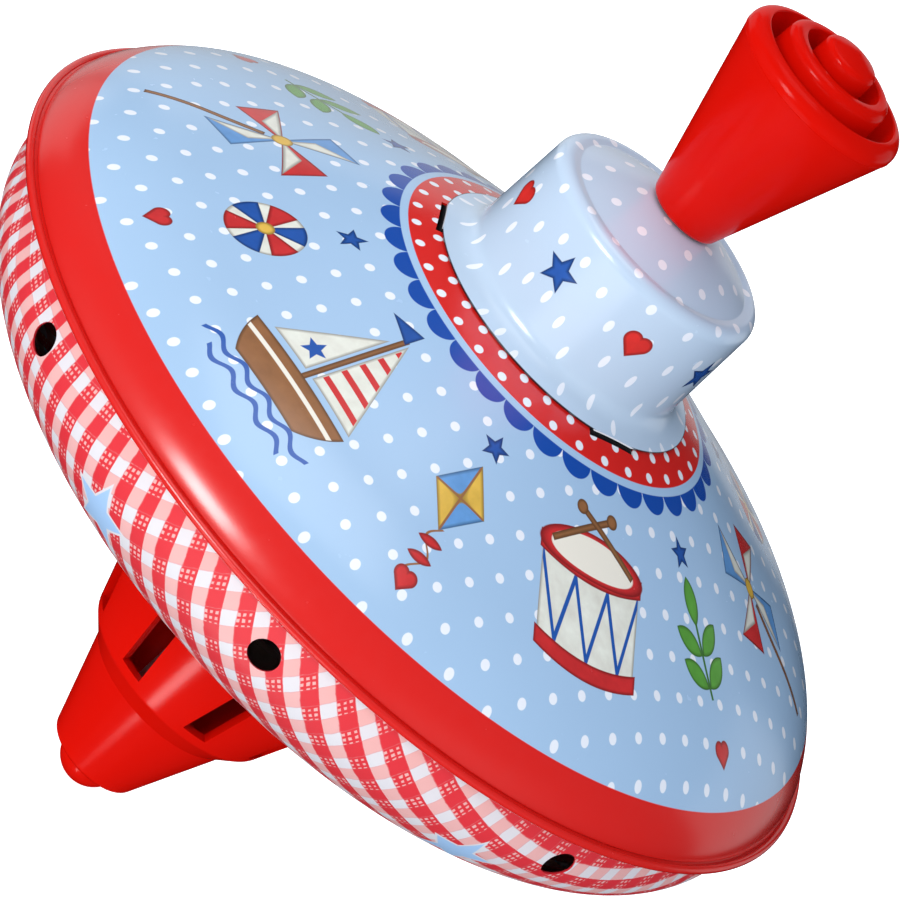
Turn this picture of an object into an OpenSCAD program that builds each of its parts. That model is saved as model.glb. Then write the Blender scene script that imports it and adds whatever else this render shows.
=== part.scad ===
// Pump-action humming top: a pressed tin body on a moulded foot, with a twisted
// rod that a hand works up and down. The spin axis is +Z and the floor point of
// the tip is the origin. Lengths are millimetres, angles are degrees.

/* [Tin body] */
// Outside diameter over the rolled rim
rim_d = 190; // [178:1:200]
// Height of the rim above the floor point
rim_z = 96.2; // [94:0.1:101]
// Thickness of the tin sheet
tin_t = 0.4; // [0.3:0.05:0.5]
// Diameter of the rolled rim
bead_d = 1.6; // [1.5:0.1:1.8]
// Distance from the rim's edge in to the bottom of the groove above it
groove_in = 2.05; // [1.9:0.05:2.2]
// Distance from the rim's edge in to the edge where the dome rises
crease_in = 1.8; // [1.6:0.05:1.9]
// Distance from the rim's edge in to the top of the dome's shoulder
shoulder_in = 23.5; // [21:0.5:26]
// Height of the top of the dome's shoulder above the rim
shoulder_h = 19; // [17.5:0.5:20]
// Height of the dome's centre hole above the rim
crown_h = 37; // [35.5:0.5:39]
// Slope of the dome at its centre hole
crown_slope = 17.5; // [15:0.5:19]

/* [Lower shell] */
// Distance from the rim's edge in to the straight wall
pan_in = 4.5; // [4:0.1:5]
// Depth of the straight wall below the rim
pan_wall_h = 9; // [8:0.5:10]
// Distance from the rim's edge in to the end of the rounded corner
pan_corner_in = 22.3; // [20:0.1:24]
// Depth of the end of the rounded corner below the rim
pan_corner_h = 27; // [25.5:0.5:28]
// Slope of the cone that runs in to the foot
pan_slope = 21.5; // [20.5:0.5:23]
// Number of sound holes in the wall
hole_n = 8; // [6:1:10]
// Diameter of a sound hole
hole_d = 6.2; // [5:0.1:7]
// Depth of the sound holes' centres below the rim
hole_drop = 9.3; // [8:0.1:10]

/* [Cap] */
// Diameter of the cap's wall at its base
cap_d = 49; // [48:0.5:52]
// How much narrower the wall is at its top, on each side
cap_taper = 0.4; // [0:0.1:1]
// Width of the flared brim
brim_w = 5.4; // [5:0.1:6]
// Overlap of the brim on the dome
brim_lap = 1.3; // [1:0.1:1.5]
// Height of the flared brim
brim_h = 4.6; // [4:0.1:5]
// Height of the top corner above the dome's centre hole
cap_corner_h = 26; // [24.5:0.5:28]
// Radius of the rounded top corner
cap_corner_r = 3.6; // [2.5:0.1:4]
// Width of the rounded rim inside the top corner
cap_rim_w = 4; // [3.6:0.1:5]
// Height of the cap's flat top above the dome's centre hole
cap_top_h = 30.3; // [29:0.1:32]
// Diameter of the flat land at the middle of the top
cap_land_d = 17; // [16.5:0.5:20]
// Number of notches in the dome's hole, each with a key of the clutch cup in it
notch_n = 3; // [2:1:4]
// Width of a notch
notch_w = 11.6; // [11:0.1:13]
// Depth of a notch beyond the dome's hole
notch_l = 1.7; // [1.6:0.05:1.9]
// Width of the slit that the brim leaves open at a notch
slit_w = 0.9; // [0.7:0.05:1]
// Direction of the first notch
notch_at = 71; // [0:1:120]

/* [Foot] */
// Diameter of the foot's cone at its base
foot_base_d = 18.6; // [18:0.2:20]
// Height of the foot's base above the floor point
foot_base_z = 6; // [5.5:0.1:7]
// Half angle of the foot's cones
foot_slope = 20; // [19:0.5:21]
// Height of the groove under the upper tier
tier_z = 26.3; // [24.5:0.1:27]
// Height of the upper tier's sloped underside
tier_rise = 4.6; // [4:0.1:5]
// Radial step from the lower cone to the upper tier
tier_step = 2.5; // [2:0.1:3]
// Radius of the upper tier's rounded lower edge
tier_edge_r = 2.4; // [1.5:0.1:2.8]
// Number of air windows round the upper tier
window_n = 8; // [6:1:8]
// Width of an air window
window_w = 5.3; // [4:0.1:6]
// Height of the windows' sills above the groove
sill_rise = 6.7; // [6:0.1:8]
// Diameter of the neck that passes through the lower shell
neck_d = 38; // [37:0.5:40]
// Wall of the neck
neck_t = 2; // [1.5:0.1:2.5]
// Height of the neck above its seat
neck_h = 9; // [8:0.5:10]
// Wall of the foot's cones
foot_t = 2.4; // [2:0.1:3]
// Radial width of the ring that holds the neck
ring_w = 6; // [5:0.5:7]
// Radius of the round tip
tip_r = 6.3; // [5.8:0.1:6.8]
// Diameter of the tip's stem
stem_d = 8; // [7:0.1:8.5]
// Length of the tip's stem
stem_h = 6; // [5:0.5:7]

/* [Knob] */
// Radius of the knob's cone at its lower end
knob_neck_r = 7.2; // [6.8:0.1:7.6]
// Half angle of the knob's cone
knob_slope = 17.1; // [16:0.1:18]
// Radius of the rounded lower edge
knob_edge_r = 1.6; // [1:0.1:2]
// Height of the centre of the rounded lip
lip_h = 35.4; // [34:0.2:38]
// Radius of the rounded lip
lip_r = 2.9; // [2.6:0.1:3.2]
// Radius of the middle ring
ring_r = 11.7; // [11.2:0.1:12]
// Height of the middle ring above the lip
ring_rise = 2.7; // [2:0.1:3.5]
// Radial width of the middle ring
ring_top_w = 3; // [2.6:0.1:3.2]
// Radius of the centre button
button_r = 5.75; // [5:0.05:6]
// Height of the centre button's edge above the middle ring
button_rise = 2.4; // [1.8:0.1:3]
// Height of the centre button's crown above its edge
button_crown = 1.7; // [1:0.1:2.2]
// Depth of the ring-shaped grooves below the lip
groove_depth = 6.6; // [5:0.1:7]

/* [Pump drive] */
// Width of the twisted strip
rod_w = 5.5; // [5:0.1:5.8]
// Thickness of the twisted strip
rod_t = 1.8; // [1.5:0.1:2]
// Rise of the twisted strip for one full turn
rod_pitch = 36; // [32:1:44]
// Length of the strip held in the knob
rod_grip = 20; // [16:0.5:22]
// Diameter of the sleeve that holds the strip in the knob
sleeve_d = 8.4; // [8:0.1:9]
// Diameter of the stop at the strip's lower end
stop_d = 8.6; // [8:0.1:8.8]
// Length of the stop
stop_h = 6; // [5:0.5:7]
// Outside diameter of the rod tube
tube_d = 10.8; // [10.6:0.1:11.4]
// Wall of the rod tube
tube_t = 0.7; // [0.5:0.05:0.75]
// Gap under the rod's lower end
rod_gap = 2.65; // [2:0.05:4]
// Depth of the tube's socket in the foot
socket_h = 6; // [5:0.5:7]
// Gap between the cap's wall and the clutch cup
cup_gap = 1.6; // [1:0.1:2]
// Wall of the clutch cup
cup_t = 2; // [1.6:0.1:2.2]
// Width of the clutch cup's keys
key_w = 10.8; // [9:0.1:10.9]
// Height of the clutch cup's floor above the dome's centre hole
cup_floor_h = 7; // [6:0.5:8]
// Number of clutch teeth
tooth_n = 12; // [8:1:12]
// Height of a clutch tooth
tooth_h = 1.6; // [1.2:0.1:1.8]
// Length of a clutch tooth round the ring
tooth_l = 5; // [4:0.1:5.4]
// Inner radius of the ring of teeth
tooth_r = 12; // [11.5:0.5:14]
// Thickness of the clutch disc
disc_t = 3; // [2.5:0.1:4]
// Thickness of the slotted drive plate
plate_t = 1; // [0.8:0.1:1.2]
// Length of the slotted drive plate
plate_l = 16; // [14:0.5:18]
// Width of the slotted drive plate
plate_w = 10; // [8:0.5:12]
// Thickness of the clutch cover
cover_t = 1.6; // [1.2:0.1:2]
// Diameter of the guide bush's flange
bush_d = 15; // [14:0.2:16]
// Thickness of the guide bush's flange
bush_t = 2.4; // [2:0.1:3]
// Diameter of the guide bush where it fills the cap's hole
bush_neck_d = 10.4; // [10:0.1:11]

/* [Reeds] */
// Number of reeds
reed_n = 6; // [4:1:6]
// Thickness of the sound plate
sound_t = 1.2; // [1:0.1:1.6]
// Length of a reed frame
reed_l = 10; // [9:0.1:10.5]
// Width of a reed frame
reed_w = 4.2; // [3.8:0.1:5]
// Thickness of a reed frame
reed_t = 0.9; // [0.8:0.05:1.2]
// Length of a reed's tongue beyond its rivet
tongue_l = 6.4; // [5.5:0.1:6.8]
// Width of a reed's tongue
tongue_w = 2; // [1.6:0.1:2.2]
// Thickness of a reed's tongue
tongue_t = 0.3; // [0.2:0.05:0.4]
// Diameter of a reed's rivet
rivet_d = 1.4; // [1:0.1:1.6]
// Diameter of a reed's rivet head
rivet_head_d = 2; // [1.8:0.1:2.4]
// Height of a reed's rivet head
rivet_head_h = 0.5; // [0.4:0.1:0.8]

/* [Fits] */
// Gap between pieces that are pressed or clamped together
fit = 0.05; // [0.03:0.01:0.08]
// Gap round pieces that slide or turn
run_gap = 0.3; // [0.3:0.05:0.4]

/* [Hidden] */
$fn = 96;
tin_blue = [0.68, 0.82, 0.94];
tin_check = [0.90, 0.50, 0.50];
plastic_red = [0.84, 0.07, 0.04];
plastic_white = [0.90, 0.90, 0.86];
plastic_black = [0.10, 0.10, 0.11];
steel = [0.72, 0.73, 0.75];
brass = [0.80, 0.64, 0.30];

// Points: a cubic curve, a rounded corner, and a curve moved sideways
curve_steps = 20;
corner_steps = 8;
function bezier(a, b, c, d) = [
    for (i = [0:curve_steps])
        let (t = i / curve_steps, s = 1 - t)
        s^3 * a + 3 * s^2 * t * b + 3 * s * t^2 * c + t^3 * d
];
function unit(v) = v / norm(v);
function rounded(a, b, c, r) =
    let (
        u = unit(a - b),
        v = unit(c - b),
        half = acos(u * v) / 2,
        centre = b + unit(u + v) * r / sin(half),
        p = b + u * r / tan(half) - centre,
        q = b + v * r / tan(half) - centre,
        turn = 180 - 2 * half,
        way = sign(p.x * q.y - p.y * q.x)
    )
    [for (i = [0:corner_steps])
        let (w = way * turn * i / corner_steps)
        centre + [p.x * cos(w) - p.y * sin(w), p.x * sin(w) + p.y * cos(w)]];
function moved(line, gap) = [
    for (i = [0:len(line) - 1])
        let (d = unit(line[min(i + 1, len(line) - 1)] - line[max(i - 1, 0)]))
        line[i] + gap * [-d.y, d.x]
];
function backwards(line) = [for (i = [len(line) - 1:-1:0]) line[i]];

// Upper shell: the groove over the rim, the crease, the shoulder, then the crown to the hole
rim_r = rim_d / 2;
crease_lift = 0.4;
crease_lean = 0.7;
groove = [rim_r - groove_in, 0];
crease = [rim_r - crease_in, crease_lift];
shoulder = [rim_r - shoulder_in, shoulder_h];
shoulder_slope = 23;
shoulder_reach = 17;
crease_rise = 4;
crown_reach = 14;
brim_r = cap_d / 2 + brim_w;
dome_hole_r = brim_r - brim_lap;
notch_r = dome_hole_r + notch_l;
crown = [dome_hole_r, crown_h];
crown_z = rim_z + crown_h;
dome_line = concat(
    bezier(
        crease,
        crease + [-crease_lean, crease_rise],
        shoulder + shoulder_reach * [cos(shoulder_slope), -sin(shoulder_slope)],
        shoulder
    ),
    bezier(
        shoulder,
        shoulder + crown_reach * [-cos(shoulder_slope), sin(shoulder_slope)],
        crown + crown_reach * [cos(crown_slope), -sin(crown_slope)],
        crown
    )
);
bead_drop = 0.6;
bead_at = [rim_r - bead_d / 2, -bead_drop];

// Lower shell: the flange inside the rim, the wall, the corner and the cone
seam_cover = 0.8;
pan_wall_r = rim_r - pan_in;
pan_flange_r = rim_r - seam_cover;
pan_flange_z = -bead_drop - tin_t;
pan_corner = [rim_r - pan_corner_in, -pan_corner_h];
pan_corner_reach = 15.8;
pan_wall_reach = 3.2;
pan_corner_slope = 22;
neck_r = neck_d / 2;
function pan_z(r) = rim_z + pan_corner.y - (pan_corner.x - r) * tan(pan_slope);
pan_hole_r = neck_r + fit;
pan_line = concat(
    [[pan_wall_r, pan_flange_z]],
    bezier(
        [pan_wall_r, -pan_wall_h],
        [pan_wall_r, -pan_wall_h - pan_wall_reach],
        pan_corner + pan_corner_reach * [cos(pan_corner_slope), sin(pan_corner_slope)],
        pan_corner
    ),
    [[pan_hole_r, pan_z(pan_hole_r) - rim_z]]
);

// Cap, measured from the dome's centre hole
cap_r = cap_d / 2;
slope_t = tin_t / cos(crown_slope);
function crown_line(r) = (dome_hole_r - r) * tan(crown_slope);
function brim_top(r) = crown_line(r) + fit + slope_t;
cap_wall_top = [cap_r - cap_taper, cap_corner_h];
cap_crease_drop = 0.5;
cap_crease = [cap_wall_top.x - cap_rim_w, cap_corner_h - cap_crease_drop];
cap_land_r = cap_land_d / 2;
brim_handle = 0.6;
cap_line = concat(
    bezier(
        [brim_r, brim_top(brim_r)],
        [brim_r - brim_w * brim_handle, brim_top(brim_r - brim_w * brim_handle)],
        [cap_r, brim_h * (1 - brim_handle)],
        [cap_r, brim_h]
    ),
    rounded([cap_r, brim_h], cap_wall_top, cap_crease, cap_corner_r / 2),
    [cap_crease, [cap_land_r, cap_top_h], [bush_neck_d / 2 + fit, cap_top_h]]
);

// Foot: the lower cone, the upper tier and where the tier meets the lower shell
foot_base_r = foot_base_d / 2;
foot_edge_r = 1.4;
function foot_r(z) = foot_base_r + (z - foot_base_z) * tan(foot_slope);
function tier_r(z) = foot_r(z) + tier_step;
function under_pan(r, drop) =
    (pan_z(0) - drop + r * tan(pan_slope)) / (1 - tan(foot_slope) * tan(pan_slope));
seat_z = under_pan(tier_r(0), fit);
seat_r = tier_r(seat_z);
vault_z = under_pan(tier_r(0) - foot_t, fit + neck_t);
neck_seat_z = pan_z(neck_r) - fit;
sound_z = pan_z(neck_r) + neck_h;
sill_z = tier_z + sill_rise;
stem_r = stem_d / 2;
stem_top = foot_base_z + stem_h;
socket_floor = 3;
socket_z = stem_top + socket_floor;
cavity_z = socket_z + socket_h;
neck_in_r = neck_r - neck_t;
cavity_r = foot_r(cavity_z) - foot_t;

// Pump drive, from the cap's top down to the foot
cap_top_z = crown_z + cap_top_h;
knob_z = cap_top_z + run_gap;
rod_r = norm([rod_w, rod_t]) / 2;
rod_bore = rod_r + run_gap;
floor_z = crown_z + cup_floor_h;
disc_z = floor_z + 2 * tooth_h + run_gap;
cover_z = disc_z + disc_t + run_gap;
tube_r = tube_d / 2;
tube_top = floor_z - cup_t - fit;
rod_low = socket_z + rod_gap;
rod_high = knob_z + rod_grip;
plate_z = disc_z + disc_t - plate_t;
function rod_angle(z) = 360 * (z - rod_low) / rod_pitch;
slot_w = rod_t + 2 * run_gap + rod_w * tan(180 * plate_t / rod_pitch);
slot_l = rod_w + 2 * run_gap;
cup_r = cap_r - tin_t - cup_gap;
cup_in_r = cup_r - cup_t;
disc_r = cup_in_r - run_gap;
tooth_w = disc_r - run_gap - tooth_r;

// How far a cut runs past the face that it opens
over = 1;

// Sheet of tin drawn to an outline and turned round the axis
module spun_sheet(line, z, t) {
    translate([0, 0, z])
        rotate_extrude()
            polygon(concat(line, backwards(moved(line, t))));
}

module ring(outer, inner, z, h) {
    difference() {
        translate([0, 0, z]) cylinder(r = outer, h = h);
        translate([0, 0, z - over]) cylinder(r = inner, h = h + 2 * over);
    }
}

module around(n) {
    for (i = [0:n - 1]) rotate(i * 360 / n) children();
}

// Blocks at the notches, from one distance off the axis out to another
module notch_blocks(from, to, width, low, high) {
    rotate(notch_at)
        around(notch_n)
            translate([from, -width / 2, crown_z + low])
                cube([to - from, width, high - low]);
}

// Saw teeth on a ring: way is 1 for teeth that stand up and -1 for teeth that hang
module saw_teeth(z, way) {
    root = 0.2;
    around(tooth_n)
        translate([tooth_r, 0, z])
            rotate([90, 0, 90])
                linear_extrude(tooth_w)
                    polygon([
                        [0, -way * root],
                        [way * tooth_l, -way * root],
                        [way * tooth_l, 0],
                        [0, way * tooth_h]
                    ]);
}

module upper_shell() {
    color(tin_blue)
        difference() {
            union() {
                spun_sheet(concat([bead_at, groove], dome_line), rim_z, tin_t);
                translate([0, 0, rim_z])
                    rotate_extrude()
                        translate(bead_at) circle(d = bead_d);
            }
            ring(pan_flange_r + fit, pan_wall_r - bead_d, rim_z + pan_flange_z - fit, tin_t + 2 * fit);
            notch_blocks(cap_r, notch_r, notch_w, -brim_h, brim_h);
        }
}

module lower_shell() {
    color(tin_check)
        difference() {
            union() {
                spun_sheet(pan_line, rim_z, -tin_t);
                ring(pan_flange_r, pan_wall_r - tin_t, rim_z + pan_flange_z, tin_t);
            }
            around(hole_n)
                translate([pan_wall_r - pan_in, 0, rim_z - hole_drop])
                    rotate([0, 90, 0])
                        cylinder(d = hole_d, h = 2 * pan_in);
        }
}

module cap() {
    color(tin_blue)
        difference() {
            spun_sheet(cap_line, crown_z, tin_t);
            notch_blocks(notch_r - slit_w, brim_r + over, notch_w, -brim_h, brim_h);
        }
}

module cap_bush() {
    color(plastic_white)
        difference() {
            union() {
                translate([0, 0, cap_top_z - tin_t - fit - bush_t]) cylinder(d = bush_d, h = bush_t);
                translate([0, 0, cap_top_z - tin_t - bush_t]) cylinder(d = bush_neck_d, h = bush_t + tin_t);
            }
            translate([0, 0, cap_top_z - 2 * bush_t]) cylinder(r = rod_bore, h = 3 * bush_t);
        }
}

// The cup's flange lies under the dome, open at the slits, and its collar grips the cap's wall
module clutch_cup() {
    hub_r = tube_r + cup_t;
    flange_r = notch_r + cup_t;
    flange_low = crown_line(flange_r) - slope_t - fit - cup_t;
    collar_top = brim_h + cup_t;
    collar_taper = cap_taper * cup_t / (cap_corner_h - brim_h);
    collar_r = cap_r - collar_taper - tin_t - 2 * fit;
    key_r = notch_r - slit_w - fit;
    key_top = crown_line(norm([key_r, key_w / 2])) - fit;
    under = cup_floor_h - cup_t;
    function flange_top(r) = crown_line(r) - slope_t - fit;
    color(plastic_black) {
        difference() {
            translate([0, 0, crown_z])
                rotate_extrude()
                    polygon([
                        [flange_r, flange_top(flange_r)],
                        [cup_r, flange_top(cup_r)],
                        [cup_r, brim_h],
                        [collar_r, brim_h],
                        [collar_r, collar_top],
                        [cup_r, collar_top],
                        [cup_r, cover_z - crown_z],
                        [cup_in_r, cover_z - crown_z],
                        [cup_in_r, cup_floor_h],
                        [rod_bore, cup_floor_h],
                        [rod_bore, under],
                        [tube_r + fit, under],
                        [tube_r + fit, under - socket_h],
                        [hub_r, under - socket_h],
                        [hub_r, under],
                        [cup_in_r, under],
                        [cup_in_r, flange_low],
                        [flange_r, flange_low]
                    ]);
            notch_blocks(key_r, flange_r + over, notch_w, flange_low - over, brim_h);
        }
        notch_blocks(dome_hole_r - cup_t, key_r, key_w, flange_low, key_top);
        saw_teeth(floor_z, 1);
    }
}

module clutch_cover() {
    color(steel) ring(cup_r, rod_bore + run_gap, cover_z + fit, cover_t);
}

module clutch_disc() {
    color(plastic_red) {
        difference() {
            ring(disc_r, rod_bore, disc_z, disc_t);
            rotate(rod_angle(plate_z + plate_t / 2))
                translate([-plate_l / 2 - fit, -plate_w / 2 - fit, plate_z - fit])
                    cube([plate_l + 2 * fit, plate_w + 2 * fit, plate_t + over]);
        }
        saw_teeth(disc_z, -1);
    }
}

module drive_plate() {
    color(steel)
        rotate(rod_angle(plate_z + plate_t / 2))
            difference() {
                translate([-plate_l / 2, -plate_w / 2, plate_z]) cube([plate_l, plate_w, plate_t]);
                translate([-slot_l / 2, -slot_w / 2, plate_z - over])
                    cube([slot_l, slot_w, plate_t + 2 * over]);
            }
}

module rod_tube() {
    color(steel) ring(tube_r, tube_r - tube_t, socket_z + fit, tube_top - socket_z - fit);
}

module spiral_rod() {
    slice_angle = 12;
    length = rod_high - rod_low;
    color(steel)
        translate([0, 0, rod_low])
            linear_extrude(
                height = length,
                twist = -rod_angle(rod_high),
                slices = ceil(rod_angle(rod_high) / slice_angle),
                segments = 8
            )
                square([rod_w, rod_t], center = true);
}

module rod_stop() {
    color(steel) ring(stop_d / 2, rod_r + fit, rod_low, stop_h);
}

module knob_sleeve() {
    color(steel) ring(sleeve_d / 2, rod_r + fit, knob_z, rod_grip);
}

module knob() {
    lip_at = [knob_neck_r + lip_h * tan(knob_slope) - lip_r / cos(knob_slope), lip_h];
    crest = lip_h + lip_r;
    ring_top = crest + ring_rise;
    button_edge = ring_top + button_rise;
    button_top = [0, button_edge + button_crown];
    floor_h = crest - groove_depth;
    draft = tan(knob_slope) * groove_depth;
    ring_in = ring_r - ring_top_w;
    ring_edge_r = 1.8;
    button_edge_r = 1.4;
    gutter = 0.4;
    lip = [
        for (i = [0:2 * corner_steps])
            let (w = -knob_slope + (90 + knob_slope) * i / (2 * corner_steps))
            lip_at + lip_r * [cos(w), sin(w)]
    ];
    color(plastic_red)
        translate([0, 0, knob_z])
            difference() {
                rotate_extrude()
                    polygon(concat(
                        [[0, 0]],
                        rounded([0, 0], [knob_neck_r, 0], lip[0], knob_edge_r),
                        lip,
                        [[lip_at.x - draft * (1 - gutter), floor_h], [ring_r + gutter, floor_h]],
                        rounded([ring_r, floor_h], [ring_r, ring_top], [ring_in, ring_top], ring_edge_r),
                        [[ring_in, ring_top], [ring_in - gutter, floor_h], [button_r + gutter, floor_h]],
                        rounded([button_r, floor_h], [button_r, button_edge], button_top, button_edge_r),
                        [button_top]
                    ));
                translate([0, 0, -over]) cylinder(d = sleeve_d + 2 * fit, h = rod_grip + over + fit);
            }
}

module foot() {
    notch = [foot_r(tier_z), tier_z];
    tier_low = [tier_r(tier_z + tier_rise), tier_z + tier_rise];
    seat = [seat_r, seat_z];
    wall = [foot_t, 0];
    roof_z = pan_z(neck_in_r) - fit - neck_t;
    color(plastic_red)
        difference() {
            rotate_extrude()
                polygon(concat(
                    [[stem_r + fit, foot_base_z]],
                    rounded([stem_r, foot_base_z], [foot_base_r, foot_base_z], notch, foot_edge_r),
                    [notch],
                    rounded(notch, tier_low, seat, tier_edge_r),
                    [
                        seat,
                        [neck_r, neck_seat_z],
                        [neck_r, sound_z - fit],
                        [neck_in_r, sound_z - fit],
                        [neck_in_r, roof_z],
                        [tier_r(vault_z), vault_z] - wall,
                        tier_low - wall,
                        notch - wall,
                        [cavity_r, cavity_z],
                        [tube_r + fit, cavity_z],
                        [tube_r + fit, socket_z],
                        [0, socket_z],
                        [0, stem_top + fit],
                        [stem_r + fit, stem_top + fit]
                    ]
                ));
            around(window_n)
                rotate(180 / window_n) {
                    translate([neck_in_r, -window_w / 2, sill_z])
                        cube([seat_r, window_w, roof_z - sill_z]);
                    translate([neck_r, -window_w / 2, sill_z])
                        cube([seat_r, window_w, seat_z - sill_z]);
                }
        }
}

module foot_tip() {
    collar_h = 1;
    dome_h = foot_base_z - collar_h;
    sweep = acos((tip_r - dome_h) / tip_r);
    collar_r = tip_r * sin(sweep);
    color(plastic_red)
        rotate_extrude()
            polygon(concat(
                [
                    for (i = [0:2 * corner_steps])
                        let (w = -90 + sweep * i / (2 * corner_steps))
                        [0, tip_r] + tip_r * [cos(w), sin(w)]
                ],
                [
                    [collar_r, foot_base_z - fit],
                    [stem_r, foot_base_z - fit],
                    [stem_r, stem_top],
                    [0, stem_top]
                ]
            ));
}

module foot_ring() {
    wall = tin_t / cos(pan_slope) + fit;
    outer = neck_r + ring_w;
    color(plastic_white)
        rotate_extrude()
            polygon([
                [neck_r + fit, pan_z(neck_r + fit) + wall],
                [outer, pan_z(outer) + wall],
                [outer, sound_z - fit],
                [neck_r + fit, sound_z - fit]
            ]);
}

// Where the reeds lie on the sound plate, measured out along each reed
reed_gap = 1.4;
reed_in = tube_r + reed_gap;
rivet_at = reed_in + reed_l - rivet_d;
reed_slot_in = rivet_at - rivet_d - tongue_l;

module reed_slot(z, h, extra) {
    translate([reed_slot_in - extra, -tongue_w / 2 - extra, z])
        cube([tongue_l + 2 * extra, tongue_w + 2 * extra, h]);
}

module rivet_hole(z, h) {
    translate([rivet_at, 0, z]) cylinder(d = rivet_d + 2 * fit, h = h);
}

module sound_plate() {
    color(plastic_white)
        difference() {
            ring(neck_r + ring_w, tube_r + fit, sound_z, sound_t);
            around(reed_n) {
                reed_slot(sound_z - over, sound_t + 2 * over, run_gap);
                rivet_hole(sound_z - over, sound_t + 2 * over);
            }
        }
}

module reed_frames() {
    frame_z = sound_z + sound_t;
    color(brass)
        around(reed_n)
            difference() {
                translate([reed_in, -reed_w / 2, frame_z]) cube([reed_l, reed_w, reed_t]);
                reed_slot(frame_z - over, reed_t + 2 * over, run_gap / 2);
                rivet_hole(frame_z - over, reed_t + 2 * over);
            }
}

module reed_tongues() {
    tongue_z = sound_z + sound_t + reed_t;
    tail = 2 * rivet_d;
    color(brass)
        around(reed_n)
            difference() {
                translate([rivet_at + tail / 2 - tail - tongue_l, -tongue_w / 2, tongue_z])
                    cube([tongue_l + tail, tongue_w, tongue_t]);
                rivet_hole(tongue_z - over, tongue_t + 2 * over);
            }
}

module reed_rivets() {
    top_z = sound_z + sound_t + reed_t + tongue_t;
    color(steel)
        around(reed_n) {
            translate([rivet_at, 0, sound_z]) cylinder(d = rivet_d, h = top_z - sound_z);
            translate([rivet_at, 0, top_z]) cylinder(d = rivet_head_d, h = rivet_head_h);
        }
}

upper_shell();
lower_shell();
cap();
cap_bush();
clutch_cup();
clutch_cover();
rod_tube();
sound_plate();
reed_frames();
reed_tongues();
reed_rivets();
foot();
foot_tip();
foot_ring();
knob();
knob_sleeve();
spiral_rod();
rod_stop();
clutch_disc();
drive_plate();
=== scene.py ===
import math

import bmesh
import bpy
from mathutils import Matrix, Vector


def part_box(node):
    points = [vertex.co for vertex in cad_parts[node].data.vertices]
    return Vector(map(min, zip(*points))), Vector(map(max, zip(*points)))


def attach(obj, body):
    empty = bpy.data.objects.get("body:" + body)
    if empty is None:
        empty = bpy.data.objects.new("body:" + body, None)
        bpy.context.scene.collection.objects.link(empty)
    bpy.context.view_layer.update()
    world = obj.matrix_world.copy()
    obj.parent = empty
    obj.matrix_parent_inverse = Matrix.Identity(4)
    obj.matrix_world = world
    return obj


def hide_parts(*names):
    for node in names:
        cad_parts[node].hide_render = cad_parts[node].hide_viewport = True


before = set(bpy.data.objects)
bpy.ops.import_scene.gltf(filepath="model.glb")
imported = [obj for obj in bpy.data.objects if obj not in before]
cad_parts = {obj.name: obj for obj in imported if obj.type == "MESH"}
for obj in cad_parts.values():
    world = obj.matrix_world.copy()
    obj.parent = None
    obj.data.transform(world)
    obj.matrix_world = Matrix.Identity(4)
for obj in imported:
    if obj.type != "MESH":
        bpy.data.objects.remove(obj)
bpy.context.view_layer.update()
scene = bpy.context.scene
scene.view_settings.view_transform = "Standard"  # keeps the print's reds and blues as they are

mm = 0.001
spinSteps = 300
weldGap = 0.002
tinWall = 0.4
crownRise = 37.0  # height of the dome's hole above its rim
cutOver = 4.0  # how far a cutter runs past the sheet that it cuts
frontSide = -94.7  # direction that the view looks from, round the spin axis

# places that the frame gives, in millimetres
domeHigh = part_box("upper_shell")[1] / mm
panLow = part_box("lower_shell")[0] / mm
footLow, footHigh = [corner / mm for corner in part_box("foot")]
tipLow, tipHigh = [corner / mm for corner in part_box("foot_tip")]
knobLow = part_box("knob")[0] / mm
rodLow, rodHigh = [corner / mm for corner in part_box("spiral_rod")]
rimR = domeHigh.x
crownZ = domeHigh.z
rimZ = crownZ - crownRise


# Outlines: short runs of (radius, height) points in millimetres

def bezierRun(start, startPull, endPull, end, steps=18):
    a, b, c, d = [Vector(p) for p in (start, startPull, endPull, end)]
    run = []
    for i in range(steps + 1):
        t = i / steps
        s = 1 - t
        run.append(s**3 * a + 3 * s * s * t * b + 3 * s * t * t * c + t**3 * d)
    return run


def arcRun(centre, radius, fromAngle, toAngle, steps=10):
    run = []
    for i in range(steps + 1):
        run.append(Vector(centre) + radius * slopeWay(fromAngle + (toAngle - fromAngle) * i / steps))
    return run


def cornerRun(before, corner, after, radius, steps=8):  # a rounded corner between two straight runs
    a, b, c = [Vector(p) for p in (before, corner, after)]
    u = (a - b).normalized()
    v = (c - b).normalized()
    half = u.angle(v) / 2
    reach = radius / math.tan(half)
    centre = b + (u + v).normalized() * radius / math.sin(half)
    p = b + u * reach - centre
    turn = p.angle_signed(b + v * reach - centre)
    run = []
    for i in range(steps + 1):
        run.append(centre + Matrix.Rotation(-turn * i / steps, 2) @ p)
    return run


def slopeWay(angle):
    return Vector((math.cos(math.radians(angle)), math.sin(math.radians(angle))))


# Meshes

def blankRadii(outline):  # how far out each point lay on the flat disc that the tin was drawn from
    radii = [outline[0][0]]
    area = outline[0][0] ** 2
    for p, q in zip(outline, outline[1:]):
        area += (p[0] + q[0]) * (Vector(q) - Vector(p)).length
        radii.append(math.sqrt(area))
    return radii


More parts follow.
